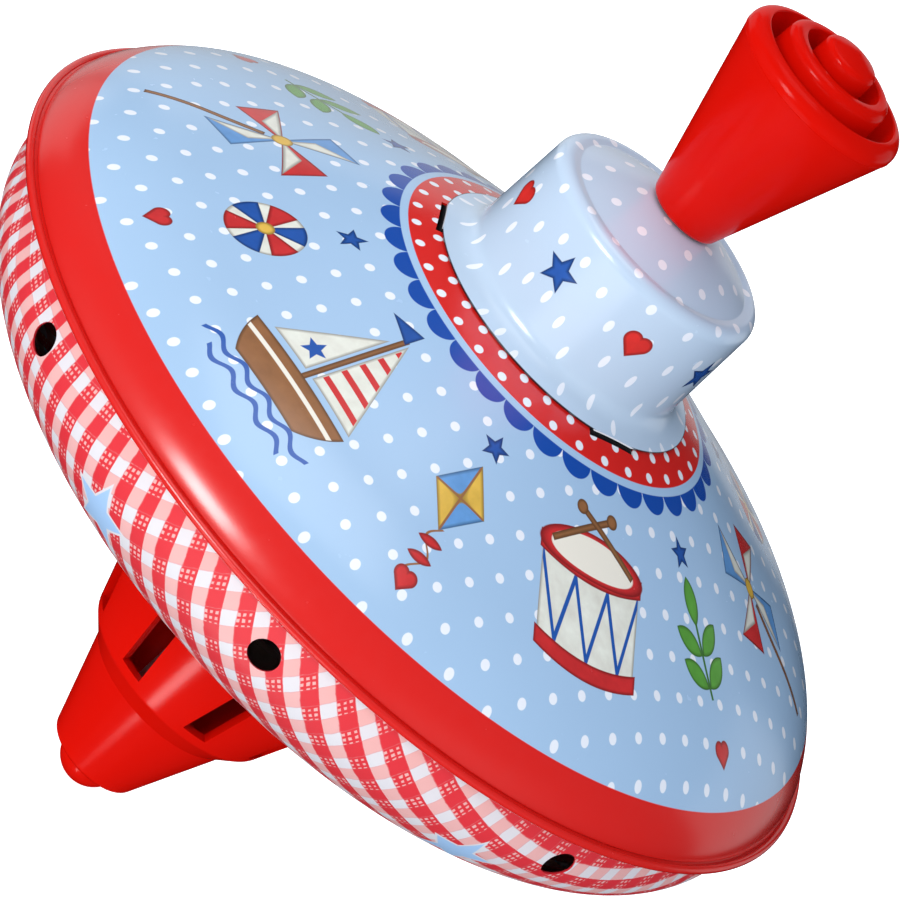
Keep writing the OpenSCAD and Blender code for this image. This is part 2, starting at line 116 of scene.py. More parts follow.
def spinOutline(outline, steps=spinSteps):
    bm = bmesh.new()
    blank = bm.verts.layers.float.new("blank")
    points = []
    for place, radius in zip(outline, blankRadii(outline)):
        vert = bm.verts.new((place[0] * mm, 0, place[1] * mm))
        vert[blank] = radius
        points.append(vert)
    edges = [bm.edges.new(pair) for pair in zip(points, points[1:])]
    bmesh.ops.spin(
        bm, geom=points + edges, cent=(0, 0, 0), axis=(0, 0, 1), angle=math.tau, steps=steps, use_merge=True
    )
    bmesh.ops.remove_doubles(bm, verts=bm.verts, dist=weldGap * mm)
    bmesh.ops.recalc_face_normals(bm, faces=bm.faces)
    sheet = bm.loops.layers.uv.new("sheet")
    for face in bm.faces:
        for loop in face.loops:
            flat = loop.vert.co.xy
            if flat.length > 0:
                loop[sheet].uv = flat.normalized() * loop.vert[blank]
    return bm


def faceOutwards(bm, outside):  # turns an open sheet so that its printed side looks away from the axis
    far = max(bm.faces, key=outside)
    if far.normal.dot(far.calc_center_median()) < 0:
        bmesh.ops.reverse_faces(bm, faces=bm.faces)


def makePiece(name, bm):
    mesh = bpy.data.meshes.new(name)
    bm.to_mesh(mesh)
    bm.free()
    piece = bpy.data.objects.new(name, mesh)
    scene.collection.objects.link(piece)
    return piece


def applyModifiers(piece):
    bpy.context.view_layer.update()
    shaped = piece.evaluated_get(bpy.context.evaluated_depsgraph_get())
    mesh = bpy.data.meshes.new_from_object(shaped)
    piece.modifiers.clear()
    old = piece.data
    piece.data = mesh
    bpy.data.meshes.remove(old)


def thicken(piece, wall):
    solid = piece.modifiers.new("wall", "SOLIDIFY")
    solid.thickness = wall * mm
    solid.offset = -1
    solid.use_even_offset = True
    applyModifiers(piece)


def cutAway(piece, cutter):
    tool = makePiece("cutter", cutter)
    cut = piece.modifiers.new("cut", "BOOLEAN")
    cut.operation = "DIFFERENCE"
    cut.solver = "EXACT"
    cut.object = tool
    applyModifiers(piece)
    mesh = tool.data
    bpy.data.objects.remove(tool)
    bpy.data.meshes.remove(mesh)


def aroundAxis(count, offset=0.0):
    return [Matrix.Rotation(math.radians(offset) + math.tau * i / count, 4, "Z") for i in range(count)]


def slabsAround(count, offset, outline, width):  # a slab of this outline at each step round the axis
    bm = bmesh.new()
    for turn in aroundAxis(count, offset):
        side = [bm.verts.new(turn @ Vector((r * mm, -width / 2 * mm, z * mm))) for r, z in outline]
        grown = bmesh.ops.extrude_face_region(bm, geom=[bm.faces.new(side)])["geom"]
        far = [part for part in grown if isinstance(part, bmesh.types.BMVert)]
        bmesh.ops.translate(bm, vec=turn @ Vector((0, width * mm, 0)), verts=far)
    bmesh.ops.recalc_face_normals(bm, faces=bm.faces)
    return bm


def blockSide(fromR, toR, low, high):
    return [(fromR, low), (toR, low), (toR, high), (fromR, high)]


def finishPiece(piece, body, material, nodes, sharpAngle=35):
    piece.data.polygons.foreach_set("use_smooth", [True] * len(piece.data.polygons))
    piece.data.set_sharp_from_angle(angle=math.radians(sharpAngle))
    piece.data.materials.clear()
    piece.data.materials.append(material)
    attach(piece, body)
    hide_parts(*nodes)
    print("made", piece.name, len(piece.data.polygons), "faces")


# Materials

def ink(red, green, blue):  # a colour as a paint chart gives it, 0 to 255
    def linear(level):
        level = min(level, 255) / 255
        return level / 12.92 if level <= 0.04045 else ((level + 0.055) / 1.055) ** 2.4
    return (linear(red), linear(green), linear(blue), 1.0)


def shaded(colour, share):
    return ink(*[level * share for level in colour])


brushLook = {
    "grain": 320.0, "dark": 0.86, "light": 1.08, "rim": 0.66, "rimOut": 0.15, "rimIn": -0.25, "rimSoft": 0.6,
}
inkEdge = 0.12  # width of a printed edge in millimetres


class Finish:  # the nodes of one material, with a print laid on it colour by colour
    def __init__(self, name):
        self.material = bpy.data.materials.new(name)
        self.material.use_nodes = True
        self.tree = self.material.node_tree
        self.shader = self.tree.nodes["Principled BSDF"]
        self.colour = None
        self.cloud = None

    def set(self, **values):
        for key, value in values.items():
            self.shader.inputs[key.replace("_", " ")].default_value = value

    def node(self, kind, *inputs, **settings):
        node = self.tree.nodes.new(kind)
        for key, value in settings.items():
            setattr(node, key, value)
        for socket, value in zip(node.inputs, inputs):
            self.feed(socket, value)
        return node

    def feed(self, socket, value):
        if isinstance(value, bpy.types.NodeSocket):
            self.tree.links.new(value, socket)
        elif value is not None:
            socket.default_value = value

    def math(self, operation, *inputs, clamp=False):
        return self.node("ShaderNodeMath", *inputs, operation=operation, use_clamp=clamp).outputs[0]

    def vector(self, operation, *inputs):
        return self.node("ShaderNodeVectorMath", *inputs, operation=operation).outputs[0]

    def reach(self, operation, *inputs):  # the vector nodes that give one number
        return self.node("ShaderNodeVectorMath", *inputs, operation=operation).outputs[1]

    def objectPlace(self):
        return self.node("ShaderNodeTexCoord").outputs["Object"]

    def sheetPlace(self):
        return self.node("ShaderNodeUVMap", uv_map="sheet").outputs[0]

    def split(self, vector):
        return self.node("ShaderNodeSeparateXYZ", vector).outputs

    def join(self, x, y, z=0.0):
        return self.node("ShaderNodeCombineXYZ", x, y, z).outputs[0]

    def mapped(self, vector, place=(0, 0), turn=0.0, scale=(1, 1)):  # a figure's own axes
        node = self.node("ShaderNodeMapping", vector, vector_type="TEXTURE")
        node.inputs["Location"].default_value = (*place, 0)
        node.inputs["Rotation"].default_value = (0, 0, math.radians(turn))
        node.inputs["Scale"].default_value = (*scale, 1)
        return node.outputs[0]

    def noise(self, scale, detail=2.0, vector=None):
        node = self.node("ShaderNodeTexNoise")
        node.inputs["Scale"].default_value = scale
        node.inputs["Detail"].default_value = detail
        self.feed(node.inputs["Vector"], vector or self.objectPlace())
        return node.outputs["Fac"]

    def bump(self, height, strength, distance):
        node = self.node("ShaderNodeBump")
        node.inputs["Strength"].default_value = strength
        node.inputs["Distance"].default_value = distance
        self.feed(node.inputs["Height"], height)
        self.feed(self.shader.inputs["Normal"], node.outputs[0])

    def between(self, share, low, high):  # a number that runs from low to high
        return self.math("MULTIPLY_ADD", share, high - low, low)

    def mix(self, share, under, over):
        node = self.tree.nodes.new("ShaderNodeMix")
        node.data_type = "RGBA"
        self.feed(node.inputs[0], share)
        self.feed(node.inputs[6], under)
        self.feed(node.inputs[7], over)
        return node.outputs[2]

    def finish(self):
        if self.colour is not None:
            self.feed(self.shader.inputs["Base Color"], self.colour)
        return self.material

    # shapes of the print: distances in millimetres from a shape's edge, less than 0 inside it

    def disc(self, place, centre, radius):
        return self.math("SUBTRACT", self.reach("DISTANCE", place, (*centre, 0)), radius)

    def bar(self, place, centre, half, turn=0.0):
        local = self.vector("ABSOLUTE", self.mapped(place, centre, turn))
        x, y, z = self.split(self.vector("SUBTRACT", local, (*half, 0)))
        return self.math("MAXIMUM", x, y)

    def panel(self, place, *corners):  # straight sides, with the corners given anticlockwise
        far = None
        for a, b in zip(corners, corners[1:] + corners[:1]):
            side = Vector(b) - Vector(a)
            normal = Vector((side.y, -side.x)).normalized()
            along = self.reach("DOT_PRODUCT", place, (*normal, 0))
            out = self.math("SUBTRACT", along, normal.dot(Vector(a)))
            far = out if far is None else self.math("MAXIMUM", far, out)
        return far

    def lens(self, place, start, end, half):  # a leaf: the space that two discs share
        middle = (Vector(start) + Vector(end)) / 2
        along = (Vector(end) - Vector(start)) / 2
        radius = (along.length_squared + half * half) / (2 * half)
        aside = Vector((-along.y, along.x)).normalized() * (radius - half)
        return self.math(
            "MAXIMUM", self.disc(place, middle + aside, radius), self.disc(place, middle - aside, radius)
        )

    def star(self, place, radius, notch=0.45):
        x, y, z = self.split(place)
        half = math.pi / 5
        folded = self.math("PINGPONG", self.math("ARCTAN2", x, y), half)
        tip = Vector((radius, 0))
        side = radius * notch * Vector((math.cos(half), math.sin(half))) - tip
        normal = Vector((side.y, -side.x)).normalized()
        lean = math.atan2(normal.y, normal.x)
        along = self.math("COSINE", self.math("SUBTRACT", folded, lean))
        out = self.math("MULTIPLY", self.reach("LENGTH", place), along)
        return self.math("SUBTRACT", out, normal.dot(tip))

    def heart(self, place, width):  # two discs on the upper sides of a square that stands on its corner
        slope = math.sqrt(0.5)
        radius = width / (2 + 2 * slope)
        x, y, z = self.split(place)
        half = self.math("ABSOLUTE", x)
        lobe = self.disc(self.join(half, y), (radius * slope, radius * slope), radius)
        slant = self.math("ADD", half, self.math("ABSOLUTE", y))
        square = self.math("MULTIPLY_ADD", slant, slope, -radius)
        return self.math("MINIMUM", lobe, square)

    def dotLattice(self, place, gap, turn, radius, shift=(0, 0)):
        cell = self.vector("FRACTION", self.mapped(place, shift, turn, (gap, gap)))
        away = self.reach("DISTANCE", cell, (0.5, 0.5, 0))
        return self.math("MULTIPLY_ADD", away, gap, -radius)

    def polarFold(self, flat, count, offset=0.0):  # every 1/count of a turn folded onto the +X side
        x, y, z = self.split(flat)
        step = math.tau / count
        angle = self.math("ADD", self.math("ARCTAN2", y, x), -math.radians(offset))
        local = self.math("WRAP", angle, step / 2, -step / 2)
        far = self.reach("LENGTH", flat)
        return self.join(
            self.math("MULTIPLY", far, self.math("COSINE", local)),
            self.math("MULTIPLY", far, self.math("SINE", local)),
        )

    def away(self, number, middle=0.0):
        return self.math("ABSOLUTE", self.math("SUBTRACT", number, middle))

    def meet(self, *distances):  # what lies inside every shape
        far = distances[0]
        for distance in distances[1:]:
            far = self.math("MAXIMUM", far, distance)
        return far

    def inside(self, distance, edge=0.0, soft=None):  # a share: 1 where distance is below edge
        step = 1 / (soft or inkEdge)
        return self.math("MULTIPLY_ADD", distance, -step, 0.5 + edge * step, clamp=True)

    def cover(self, distance, colour, edge=0.0):  # a flat ink
        self.colour = self.mix(self.inside(distance, edge), self.colour, ink(*colour))

    def wash(self, distance, colour):  # an ink with a brushed tone and a darker edge
        brush = brushLook
        self.cover(distance, [level * brush["rim"] for level in colour], brush["rimOut"])
        tone = self.mix(self.cloud, shaded(colour, brush["dark"]), shaded(colour, brush["light"]))
        self.colour = self.mix(self.inside(distance, brush["rimIn"], brush["rimSoft"]), self.colour, tone)


# Red moulded plastic of the knob, the foot and the tip

plasticLook = {
    "colour": (217, 15, 3), "shade": (211, 11, 2), "cloud": 55.0, "roughness": (0.14, 0.18), "grain": 260.0,
    "fine": 1560.0, "bumpStrength": 0.015, "bumpDepth": 0.4, "shine": 0.1,
}


def redPlastic():
    look = plasticLook
    plastic = Finish("redPlastic")
    cloud = plastic.noise(look["cloud"], 3.0)
    plastic.colour = plastic.mix(cloud, ink(*look["shade"]), ink(*look["colour"]))
    fine = plastic.noise(look["fine"])
    plastic.feed(plastic.shader.inputs["Roughness"], plastic.between(fine, *look["roughness"]))
    plastic.bump(plastic.noise(look["grain"], 3.0), look["bumpStrength"], look["bumpDepth"] * mm)
    plastic.set(Specular_IOR_Level=look["shine"])
    return plastic.finish()


# Figures printed on the dome, each in its own axes: +Y points up to the cap, and the unit is a millimetre

printInks = {
    "red": (216, 44, 44), "blue": (34, 88, 170), "sky": (104, 160, 216), "cream": (250, 240, 220),
    "wood": (158, 104, 62), "gold": (242, 190, 74), "leaf": (98, 170, 62), "stem": (66, 120, 46),
}


boatFigure = {
    "mastAt": (0, 5), "mastHalf": (0.5, 13), "flag": ((0.3, 17.2), (0.3, 21.6), (-6.4, 19.4)),
    "hullAt": (0, -3), "hullRadius": 15.5, "deck": -6.5, "keel": -15.0,
    "lineAt": -9.2, "lineHalf": 0.6, "lineInset": 0.1, "sail": ((1.3, -4.8), (14.5, -4.8), (1.3, 17)),
    "stripeGap": 4.2, "stripeHalf": 1.0, "stripeInset": 0.3,
    "jib": ((-1.4, -4.8), (-1.4, 14), (-11.5, -4.8)), "starAt": (-4.6, -0.6), "starRadius": 2.8,
    "waves": ((-16.4, 17.0), (-19.2, 13.0)), "waveHalf": 0.5, "waveRise": 0.8, "waveRate": 0.8,
}


def drawBoat(tin, place):
    boat = boatFigure
    inks = printInks
    x, y, z = tin.split(place)
    tin.wash(tin.bar(place, boat["mastAt"], boat["mastHalf"]), inks["wood"])
    hull = tin.meet(
        tin.disc(place, boat["hullAt"], boat["hullRadius"]),
        tin.math("SUBTRACT", y, boat["deck"]), tin.math("SUBTRACT", boat["keel"], y)
    )
    tin.wash(hull, inks["wood"])
    line = tin.math("SUBTRACT", tin.away(y, boat["lineAt"]), boat["lineHalf"])
    tin.cover(tin.meet(hull, line), inks["cream"], -boat["lineInset"])
    sail = tin.panel(place, *boat["sail"])
    tin.wash(sail, inks["cream"])
    gap = boat["stripeGap"]
    stripe = tin.away(tin.math("FRACT", tin.math("DIVIDE", y, gap)), 0.5)
    stripe = tin.math("MULTIPLY_ADD", stripe, gap, -boat["stripeHalf"])
    tin.cover(tin.meet(sail, stripe), inks["red"], -boat["stripeInset"])
    tin.wash(tin.panel(place, *boat["jib"]), inks["cream"])
    tin.cover(tin.star(tin.mapped(place, boat["starAt"]), boat["starRadius"]), inks["blue"])
    tin.wash(tin.panel(place, *boat["flag"]), inks["blue"])
    ripple = tin.math("SINE", tin.math("MULTIPLY", x, boat["waveRate"]))
    for low, half in boat["waves"]:
        crest = tin.away(tin.math("MULTIPLY_ADD", ripple, -boat["waveRise"], y), low)
        ends = tin.math("SUBTRACT", tin.away(x), half)
        tin.cover(tin.meet(tin.math("SUBTRACT", crest, boat["waveHalf"]), ends), inks["blue"])


drumFigure = {
    "bow": 0.016, "middle": -1.0, "half": (13.0, 10.5), "laceStep": 4.33, "laceSlope": 3.4, "laceLow": -8.4,
    "laceShare": 0.28, "laceHalf": 0.45, "hoopAt": 9.4, "hoopHalf": (13.6, 1.7),
    "skinAt": (0, 11.9), "skinHalf": (13.6, 4.4), "skinRim": 0.8,
    "stickAt": (-3.6, 16.4), "stickHalf": (8.2, 0.55), "stickLean": 30.0,
    "beadAt": (4.0, 20.8), "beadRadius": 1.3,
}


def drawDrum(tin, place):
    drum = drumFigure
    inks = printInks
    x, y, z = tin.split(place)
    bow = tin.math("MULTIPLY_ADD", tin.math("MULTIPLY", x, x), -drum["bow"], y)
    level = tin.away(bow, drum["middle"])
    side = tin.away(x)
    width, height = drum["half"]
    shell = tin.meet(tin.math("SUBTRACT", side, width), tin.math("SUBTRACT", level, height))
    tin.wash(shell, inks["cream"])
    zigzag = tin.math("PINGPONG", x, drum["laceStep"])
    zigzag = tin.math("MULTIPLY_ADD", zigzag, drum["laceSlope"], drum["laceLow"])
    lace = tin.away(tin.math("SUBTRACT", bow, zigzag))
    lace = tin.math("MULTIPLY_ADD", lace, drum["laceShare"], -drum["laceHalf"])
    tin.cover(tin.meet(shell, lace), inks["blue"])
    width, height = drum["hoopHalf"]
    hoop = tin.math("SUBTRACT", tin.away(level, drum["hoopAt"]), height)
    tin.wash(tin.meet(tin.math("SUBTRACT", side, width), hoop), inks["red"])
    skin = tin.reach("LENGTH", tin.mapped(place, drum["skinAt"], 0.0, drum["skinHalf"]))
    skin = tin.math("MULTIPLY_ADD", skin, drum["skinHalf"][1], -drum["skinHalf"][1])
    tin.wash(skin, inks["red"])
    tin.cover(skin, inks["cream"], -drum["skinRim"])
    for lean in (1, -1):
        mirror = Matrix.Diagonal((lean, 1))
        stickAt, beadAt = [mirror @ Vector(drum[name]) for name in ("stickAt", "beadAt")]
        tin.wash(tin.bar(place, stickAt, drum["stickHalf"], drum["stickLean"] * lean), inks["wood"])
        tin.wash(tin.disc(place, beadAt, drum["beadRadius"]), inks["wood"])


pinwheelFigure = {
    "stickAt": (0, -10), "stickHalf": (0.6, 11), "hubAt": (0, 4.5), "hubRadius": 1.9,
    "blades": ((12, "red"), (102, "sky")), "blade": ((0, 0), (14.5, 0), (9.6, 8.2)),
    "foldTurn": 12, "fold": ((1, 0.2), (13.4, 0.2), (6.4, 3.4)),
}


def drawPinwheel(tin, place):
    wheel = pinwheelFigure
    inks = printInks
    tin.wash(tin.bar(place, wheel["stickAt"], wheel["stickHalf"]), inks["wood"])
    hub = tin.mapped(place, wheel["hubAt"])
    for turn, colour in wheel["blades"]:
        tin.wash(tin.panel(tin.polarFold(hub, 2, turn), *wheel["blade"]), inks[colour])
    tin.wash(tin.panel(tin.polarFold(hub, 4, wheel["foldTurn"]), *wheel["fold"]), inks["cream"])
    tin.wash(tin.disc(hub, (0, 0), wheel["hubRadius"]), inks["gold"])


kiteFigure = {
    "sideWay": (0.817, 0.576), "sideOut": 4.6, "tailRate": 0.75, "tailSwing": 1.3, "tailHalf": 0.25,
    "tailAt": -13, "tailReach": 5.5, "bows": (-11.5, -15.5), "bowHalf": 2.4, "bowRise": 0.6, "bowWidth": 0.9,
    "quarterSlope": 0.4, "sparHalf": 0.22,
}


def drawKite(tin, place):
    shape = kiteFigure
    inks = printInks
    x, y, z = tin.split(place)
    across = tin.away(x)
    along = tin.away(y)
    overX, overY = shape["sideWay"]
    kite = tin.math("MULTIPLY_ADD", across, overX, tin.math("MULTIPLY_ADD", along, overY, -shape["sideOut"]))
    ripple = tin.math("SINE", tin.math("MULTIPLY", y, shape["tailRate"]))
    tail = tin.away(tin.math("MULTIPLY_ADD", ripple, -shape["tailSwing"], x))
    ends = tin.math("SUBTRACT", tin.away(y, shape["tailAt"]), shape["tailReach"])
    tin.cover(tin.meet(tin.math("SUBTRACT", tail, shape["tailHalf"]), ends), inks["wood"])
    half = shape["bowHalf"]
    for low in shape["bows"]:
        tip = (half, low + shape["bowRise"])
        tin.wash(tin.lens(place, (-half, low), tip, shape["bowWidth"]), inks["red"])
    tin.wash(kite, inks["sky"])
    quarter = tin.math("MULTIPLY", tin.math("MULTIPLY", x, y), -shape["quarterSlope"])
    tin.wash(tin.meet(kite, quarter), inks["gold"])
    spar = tin.math("SUBTRACT", tin.math("MINIMUM", across, along), shape["sparHalf"])
    tin.cover(tin.meet(kite, spar), inks["wood"])


ballFigure = {
    "radius": 7.0, "panels": ((20, "red"), (80, "blue")), "panelWay": (-0.35, 0.94), "hubRadius": 1.5,
}


def drawBall(tin, place):
    shape = ballFigure
    inks = printInks
    ball = tin.disc(place, (0, 0), shape["radius"])
    tin.wash(ball, inks["cream"])
    overX, overY = shape["panelWay"]
    for turn, colour in shape["panels"]:
        x, y, z = tin.split(tin.polarFold(place, 3, turn))
        sector = tin.math("MULTIPLY_ADD", x, overX, tin.math("MULTIPLY", tin.away(y), overY))
        tin.wash(tin.meet(ball, sector), inks[colour])
    tin.wash(tin.disc(place, (0, 0), shape["hubRadius"]), inks["gold"])


sprigFigure = {
    "stemAt": (0, -2), "stemHalf": (0.35, 7.5), "pairs": (-7.5, -2.0), "leafFrom": 0.4, "leafTo": 6.6,
    "leafRise": 5.0, "leafHalf": 1.8, "topLeaf": ((0, 3), (0, 11)), "topHalf": 1.9,
}


def drawSprig(tin, place):
    sprig = sprigFigure
    inks = printInks
    x, y, z = tin.split(place)
    folded = tin.join(tin.away(x), y)
    tin.cover(tin.bar(place, sprig["stemAt"], sprig["stemHalf"]), inks["stem"])
    for low in sprig["pairs"]:
        tip = (sprig["leafTo"], low + sprig["leafRise"])
        tin.wash(tin.lens(folded, (sprig["leafFrom"], low), tip, sprig["leafHalf"]), inks["leaf"])
    tin.wash(tin.lens(place, *sprig["topLeaf"], sprig["topHalf"]), inks["leaf"])


# Printed tin of the dome: dots, figures, the red band at the rim, the ring and the scallops round the cap

domePrint = {
    "blue": (174, 204, 231), "white": (246, 246, 248), "red": (228, 28, 20), "scallop": (14, 76, 168),
    "cloud": 30.0, "shade": 0.97,
    "dotGap": 6.9, "dotTurn": -31.7, "dotRadius": 0.93, "dotShift": (-31.73, -36.43),
    "bandRadius": 88.3, "ringRadius": 35.8, "borderRadius": 37.3,
    "scallops": 34, "scallopDepth": 3.4, "ringDots": 34, "ringDotRadius": 0.9, "ringRows": (34.3, 30.6),
    "splitTurn": -9.0, "hearts": 6, "heartWidth": 4.6, "heartOut": 80.5, "heartTurn": 10.0,
    "stars": 6, "starRadius": 2.6, "starOut": 47.0, "starTurn": 10.0,
}
domeFigures = [  # what is drawn, its place round the dome from the front, its distance out and its scale
    (drawPinwheel, -80.0, 63.0, 0.92), (drawBoat, -20.0, 63.0, 0.92), (drawDrum, 40.0, 64.0, 0.92),
    (drawBall, -50.0, 62.0, 1.0), (drawKite, 10.0, 60.0, 1.0), (drawSprig, 70.0, 62.0, 1.0),
]


glossLook = {
    "grain": 420.0, "uneven": 0.1, "ripple": 900.0, "rippleStrength": 0.02, "rippleDepth": 0.2, "shine": 0.5,
}


def tinGloss(tin, coat=1.0, blur=0.2):  # a clear varnish over the print, a little uneven
    gloss = glossLook
    patches = tin.noise(gloss["grain"], 3.0)
    tin.feed(tin.shader.inputs["Roughness"], tin.between(patches, blur, blur + gloss["uneven"]))
    tin.bump(tin.noise(gloss["ripple"]), gloss["rippleStrength"], gloss["rippleDepth"] * mm)
    tin.set(Specular_IOR_Level=gloss["shine"] * coat, Coat_Weight=coat, Coat_Roughness=blur)


def domeTin():
    look = domePrint
    tin = Finish("domeTin")
    flat = tin.vector("MULTIPLY", tin.objectPlace(), (1 / mm, 1 / mm, 0))
    far = tin.reach("LENGTH", flat)
    tin.cloud = tin.noise(brushLook["grain"], 4.0)
    tin.colour = tin.mix(tin.noise(look["cloud"]), ink(*look["blue"]), shaded(look["blue"], look["shade"]))
    dots = tin.dotLattice(flat, look["dotGap"], look["dotTurn"], look["dotRadius"], look["dotShift"])
    tin.cover(dots, look["white"])
    # the figures of the front half come again, turned round, on the far half
    split = slopeWay(frontSide + look["splitTurn"])
    half = tin.math("SIGN", tin.reach("DOT_PRODUCT", flat, (*split, 0)))
    near = tin.vector("SCALE", flat, None, None, half)
    for draw, turn, out, scale in domeFigures:
        centre = out * slopeWay(frontSide + turn)
        draw(tin, tin.mapped(near, centre, frontSide + turn + 90, (scale, scale)))
    fold = tin.polarFold(flat, look["hearts"], frontSide + look["heartTurn"])
    tin.wash(tin.heart(tin.mapped(fold, (look["heartOut"], 0), 90.0), look["heartWidth"]), printInks["red"])
    fold = tin.polarFold(flat, look["stars"], frontSide + look["starTurn"])
    tin.wash(tin.star(tin.mapped(fold, (look["starOut"], 0), 90.0), look["starRadius"]), printInks["blue"])
    lobes = tin.polarFold(flat, look["scallops"])
    tin.cover(tin.disc(lobes, (look["borderRadius"], 0), look["scallopDepth"]), look["scallop"])
    tin.cover(tin.math("SUBTRACT", far, look["borderRadius"]), look["blue"])
    tin.cover(tin.math("SUBTRACT", far, look["ringRadius"]), look["red"])
    for row, radius in enumerate(look["ringRows"]):
        spots = tin.polarFold(flat, look["ringDots"], row * 180 / look["ringDots"])
        tin.cover(tin.disc(spots, (radius, 0), look["ringDotRadius"]), look["white"])
    tin.cover(tin.math("SUBTRACT", look["bandRadius"], far), look["red"])
    tinGloss(tin)
    return tin.finish()


# Printed tin of the lower shell: a red and white check, with pale stars on it

panPrint = {
    "red": (230, 42, 51), "pink": (241, 178, 170), "white": (228, 221, 220), "line": (222, 112, 114),
    "period": 6.13, "shift": (-1.06, -2.25), "turn": 45.0, "redShare": 0.53, "blur": 1.6,
    "drift": 0.04, "driftGrain": 500.0, "threads": 3, "markAt": 0.7, "markHalf": 0.25, "markSoft": 0.15,
    "markUneven": 0.25, "markGrain": 700.0, "lineHalf": 0.012, "lineInk": 0.55,
    "stars": 6, "starTurn": -115.1, "starOut": 90.4, "starRadius": 8.4, "starBlue": (168, 202, 236),
    "starBorder": 0.45, "coat": 0.5, "coatBlur": 0.4,
}


def panTin():
    look = panPrint
    tin = Finish("panTin")
    place = tin.sheetPlace()
    period = look["period"]
    cell = tin.vector("FRACTION", tin.mapped(place, look["shift"], look["turn"], (period, period)))
    u, v, w = tin.split(cell)
    drift = tin.between(tin.noise(look["driftGrain"]), -look["drift"], look["drift"])
    u, v = tin.math("ADD", u, drift), tin.math("SUBTRACT", v, drift)
    soft = look["blur"] * inkEdge / period
    middle = look["redShare"] / 2
    warp = tin.math("SUBTRACT", tin.away(u, middle), middle)
    weft = tin.math("SUBTRACT", tin.away(v, middle), middle)
    white, pink, red = [ink(*look[name]) for name in ("white", "pink", "red")]
    tin.colour = tin.mix(tin.inside(warp, 0.0, soft), white, pink)
    # the weave shows as small uneven marks where one red thread crosses a white one
    small = tin.vector("FRACTION", tin.vector("SCALE", cell, None, None, look["threads"] / look["redShare"]))
    su, sv, sw = tin.split(small)
    mark = tin.meet(tin.away(su, look["markAt"]), tin.away(sv, look["markAt"]))
    uneven = tin.between(tin.noise(look["markGrain"]), -look["markUneven"], look["markUneven"])
    marks = tin.inside(tin.math("SUBTRACT", mark, uneven), look["markHalf"], look["markSoft"])
    woven = tin.mix(marks, red, pink)
    tin.colour = tin.mix(tin.inside(weft, 0.0, soft), tin.colour, woven)
    tin.colour = tin.mix(tin.inside(tin.meet(warp, weft), 0.0, soft), tin.colour, red)
    for band in (warp, weft):
        line = tin.math("MULTIPLY", tin.inside(tin.away(band), look["lineHalf"], soft), look["lineInk"])
        tin.colour = tin.mix(line, tin.colour, ink(*look["line"]))
    fold = tin.polarFold(place, look["stars"], look["starTurn"])
    star = tin.star(tin.mapped(fold, (look["starOut"], 0), -90.0), look["starRadius"])
    tin.cover(star, look["white"])
    tin.cover(star, look["starBlue"], -look["starBorder"])
    tinGloss(tin, look["coat"], look["coatBlur"])
    return tin.finish()


# Printed tin of the cap: dots that the drawing has stretched down the wall, hearts and stars

capPrint = {
    "blue": (201, 218, 234), "white": (248, 248, 251), "red": (232, 44, 36), "star": (38, 90, 172),
    # edge: the near-black cut edge, partly bare steel and partly painted shade under the brim
    "edge": (30, 30, 34), "edgeShadeWidth": 0.1, "cloud": 40.0, "shade": 0.98,
    "dotGap": 7.25, "dotTurn": 71.0, "dotRadius": 1.0, "dotShift": (3.12, -4.75),
    "charms": 4, "wallRadius": 24.3, "charmRise": 15.0, "heartTurn": -156.7, "heartWidth": 5.6,
    "starTurn": -111.7, "starRadius": 3.6,
}


def wallFold(tin, count, turn, radius, height):  # the wall rolled out flat, the same at each step round it
    x, y, z = tin.split(tin.vector("MULTIPLY", tin.objectPlace(), (1 / mm, 1 / mm, 1 / mm)))
    step = math.tau / count
    angle = tin.math("SUBTRACT", tin.math("ARCTAN2", y, x), math.radians(turn))
    along = tin.math("MULTIPLY", tin.math("WRAP", angle, step / 2, -step / 2), radius)
    return tin.join(along, tin.math("SUBTRACT", z, height))


def capTin(edge):  # edge: how far out the sheet was cut; the outer rim there is near-black, partly the bare steel edge and partly painted shade of the gap under the brim
    look = capPrint
    tin = Finish("capTin")
    place = tin.sheetPlace()
    tin.colour = tin.mix(tin.noise(look["cloud"]), ink(*look["blue"]), shaded(look["blue"], look["shade"]))
    dots = tin.dotLattice(place, look["dotGap"], look["dotTurn"], look["dotRadius"], look["dotShift"])
    tin.cover(dots, look["white"])
    tin.cloud = tin.noise(brushLook["grain"], 4.0)
    height = crownZ + look["charmRise"]
    wall = wallFold(tin, look["charms"], look["heartTurn"], look["wallRadius"], height)
    tin.wash(tin.heart(wall, look["heartWidth"]), look["red"])
    wall = wallFold(tin, look["charms"], look["starTurn"], look["wallRadius"], height)
    tin.wash(tin.star(wall, look["starRadius"]), look["star"])
    # painted shade: the outer edge of the sheet goes near-black, partly bare steel and partly the dark gap
    # under the brim
    tin.cover(tin.math("SUBTRACT", edge, tin.reach("LENGTH", place)), look["edge"], look["edgeShadeWidth"])
    tinGloss(tin)
    return tin.finish()


# Plain finishes of the inner parts

innerLooks = {
    "whitePlastic": {"light": (222, 222, 214), "dark": (206, 206, 198), "rough": (0.42, 0.55), "grain": 90},
    # painted shade: the clutch cup is white plastic, coloured near-black so that the slits at the cap's
    # notches look dark
    "paintedShadeBlack": {"light": (40, 40, 43), "dark": (28, 28, 30), "rough": (0.45, 0.55), "grain": 90},
    "drawnSteel": {"light": (208, 210, 214), "dark": (182, 184, 188), "rough": (0.3, 0.42), "grain": 160},
    "sheetBrass": {"light": (206, 172, 96), "dark": (184, 148, 76), "rough": (0.28, 0.42), "grain": 140},
    "clutchRed": {"light": (176, 30, 22), "dark": (156, 20, 14), "rough": (0.4, 0.52), "grain": 90},
}
metals = {"drawnSteel": 0.6, "sheetBrass": 0.75}  # less than 1: bare metal with a dull skin
innerGrain = {"rough": 5, "bump": 8, "bumpStrength": 0.05, "bumpDepth": 0.2}  # finer than the colour's grain


